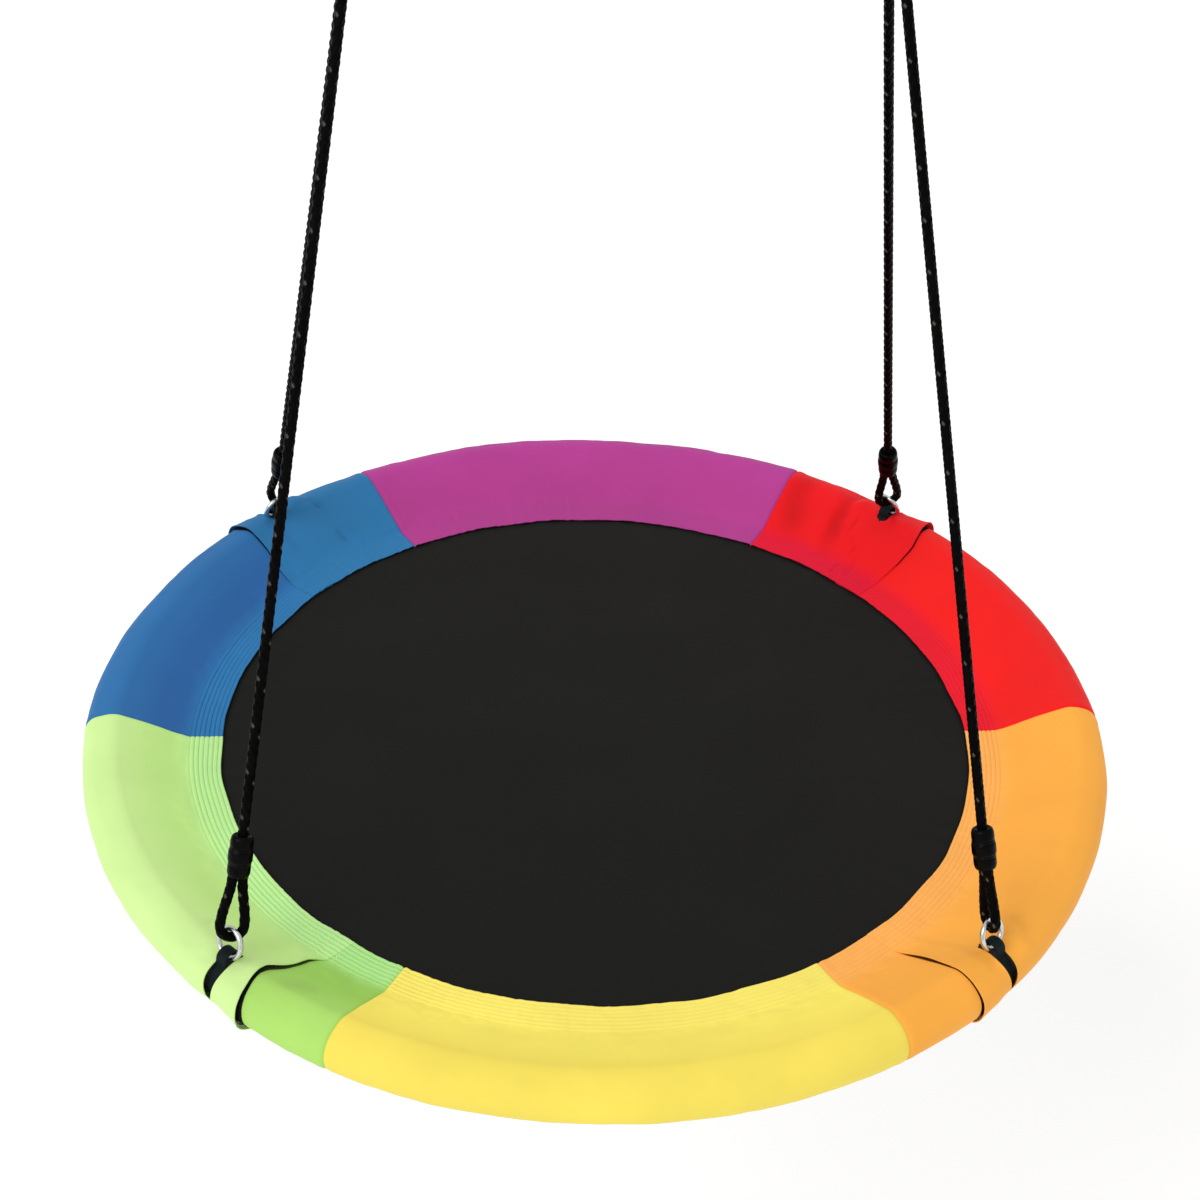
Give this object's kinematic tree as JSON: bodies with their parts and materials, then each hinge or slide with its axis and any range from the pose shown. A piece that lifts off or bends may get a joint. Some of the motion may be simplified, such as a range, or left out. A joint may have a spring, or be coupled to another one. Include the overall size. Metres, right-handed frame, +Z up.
{
  "type": "saucer swing",
  "caption": "Round rope-hung saucer swing: a black fabric seat in a padded steel ring covered in coloured cloth panels, carried by straps, steel rings, ropes and carabiners.",
  "frame": {"origin": "midway between the two carabiners, level with the inside of their top bows, where the beam's eyes carry them", "axes": "+Z up along the hanging direction, +X to the rider's right along the line between the two hang points, -Y towards the front"},
  "size_m": [1, 1, 1.0333],
  "materials": {
    "magenta_cloth": "matte coated polyester cloth",
    "red_cloth": "matte coated polyester cloth",
    "orange_cloth": "matte coated polyester cloth",
    "yellow_cloth": "matte coated polyester cloth",
    "green_cloth": "matte coated polyester cloth",
    "blue_cloth": "matte coated polyester cloth",
    "black_cloth": "matte coated polyester cloth",
    "webbing": "woven polyester webbing",
    "rope": "braided polyethylene rope",
    "foam": "closed-cell foam, hidden",
    "frame_steel": "black powder coat, hidden",
    "zinc_steel": "zinc plated",
    "black_plastic": "moulded, satin"
  },
  "bodies": {
    "carabiners": {"carabiner_left": "zinc_steel", "carabiner_right": "zinc_steel", "gate_pin_left": "zinc_steel", "gate_pin_right": "zinc_steel"},
    "gate_left": {"gate_left": "zinc_steel"},
    "gate_right": {"gate_right": "zinc_steel"},
    "hang_rings": {"hang_ring_left": "zinc_steel", "hang_ring_right": "zinc_steel"},
    "ropes_left": {"upper_eye_back_left": "rope", "upper_ferrule_back_left": "black_plastic", "rope_back_left": "rope", "lower_ferrule_back_left": "black_plastic", "lower_eye_back_left": "rope", "lower_ring_back_left": "zinc_steel", "upper_eye_front_left": "rope", "upper_ferrule_front_left": "black_plastic", "rope_front_left": "rope", "lower_ferrule_front_left": "black_plastic", "lower_eye_front_left": "rope", "lower_ring_front_left": "zinc_steel"},
    "ropes_right": {"upper_eye_back_right": "rope", "upper_ferrule_back_right": "black_plastic", "rope_back_right": "rope", "lower_ferrule_back_right": "black_plastic", "lower_eye_back_right": "rope", "lower_ring_back_right": "zinc_steel", "upper_eye_front_right": "rope", "upper_ferrule_front_right": "black_plastic", "rope_front_right": "rope", "lower_ferrule_front_right": "black_plastic", "lower_eye_front_right": "rope", "lower_ring_front_right": "zinc_steel"},
    "platform": {"strap_back_left": "webbing", "strap_back_right": "webbing", "strap_front_left": "webbing", "strap_front_right": "webbing", "frame_tube_1": "frame_steel", "frame_tube_2": "frame_steel", "frame_tube_3": "frame_steel", "frame_tube_4": "frame_steel", "frame_screw_1": "zinc_steel", "frame_screw_2": "zinc_steel", "frame_screw_3": "zinc_steel", "frame_screw_4": "zinc_steel", "foam_sleeve_1": "foam", "foam_sleeve_2": "foam", "foam_sleeve_3": "foam", "foam_sleeve_4": "foam", "cover_magenta": "magenta_cloth", "cover_yellow": "yellow_cloth", "cover_red_back": "red_cloth", "cover_red_side": "red_cloth", "cover_blue_back": "blue_cloth", "cover_blue_side": "blue_cloth", "cover_green_side": "green_cloth", "cover_green_front": "green_cloth", "cover_orange_side": "orange_cloth", "cover_orange_front": "orange_cloth", "lining": "black_cloth", "seat": "black_cloth"}
  },
  "joints": [
    {"name": "gate_left", "type": "hinge", "parent": "carabiners", "child": "gate_left", "pos_m": [-0.219, 0, -0.0545], "axis": [0, 1, 0], "range_deg": [0, 22], "stiffness_Nm_per_rad": 0.05},
    {"name": "gate_right", "type": "hinge", "parent": "carabiners", "child": "gate_right", "pos_m": [0.219, 0, -0.0545], "axis": [0, -1, 0], "range_deg": [0, 22], "stiffness_Nm_per_rad": 0.05},
    {"name": "swing", "type": "hinge", "parent": "carabiners", "child": "hang_rings", "pos_m": [0, 0, -0.068], "axis": [1, 0, 0], "range_deg": [-45, 45]},
    {"name": "sway", "type": "hinge", "parent": "hang_rings", "child": "ropes_left", "pos_m": [-0.202, 0, -0.10614], "axis": [0, 1, 0], "range_deg": [-10, 10]},
    {"name": "sway_right", "type": "hinge", "parent": "hang_rings", "child": "ropes_right", "pos_m": [0.202, 0, -0.10614], "axis": [0, 1, 0], "range_deg": [-10, 10]},
    {"name": "platform_level", "type": "hinge", "parent": "ropes_left", "child": "platform", "pos_m": [-0.33722, 0, -0.973], "axis": [0, 1, 0], "range_deg": [-6, 6]}
  ],
  "couplings": [
    {"joint": "sway_right", "follows": "sway", "ratio": 1},
    {"joint": "platform_level", "follows": "sway", "ratio": -0.599}
  ]
}
